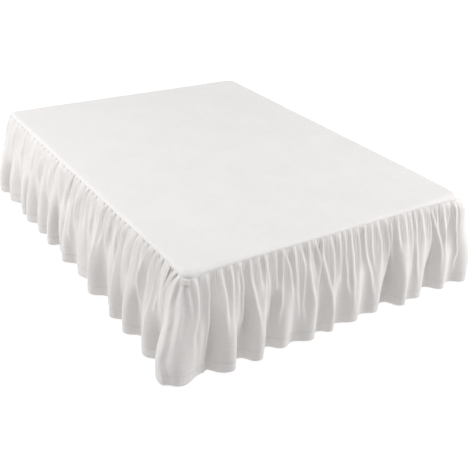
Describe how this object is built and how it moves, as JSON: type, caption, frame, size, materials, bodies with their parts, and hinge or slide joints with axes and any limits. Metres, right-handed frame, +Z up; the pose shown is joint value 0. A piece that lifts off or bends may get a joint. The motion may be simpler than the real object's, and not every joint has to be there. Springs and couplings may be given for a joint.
{
  "type": "bed skirt on a bed base",
  "caption": "Off-white gathered bed skirt: a flat deck panel with a ruffle hanging in folds on both sides and the foot, over a plain box spring on round legs.",
  "frame": {"origin": "on the floor, under the middle of the whole object's box; the bed's own centre line is at x 0", "axes": "+Z up; +Y along the bed towards its open head end, the longest extent; +X towards the right side as seen from the foot end"},
  "size_m": [1.7573, 2.1666, 0.468],
  "materials": {
    "off_white_linen": "matt plain weave",
    "plain_ticking": "matt",
    "dark_wood": "satin"
  },
  "bodies": {
    "root": {"deck_panel": "off_white_linen", "ruffle_left_head": "off_white_linen", "ruffle_left_middle": "off_white_linen", "ruffle_left_corner": "off_white_linen", "ruffle_foot": "off_white_linen", "ruffle_right_corner": "off_white_linen", "ruffle_right_middle": "off_white_linen", "ruffle_right_head": "off_white_linen", "box_spring": "plain_ticking", "leg_left_head": "dark_wood", "leg_right_head": "dark_wood", "leg_left_middle": "dark_wood", "leg_right_middle": "dark_wood", "leg_left_foot": "dark_wood", "leg_right_foot": "dark_wood"}
  },
  "joints": []
}
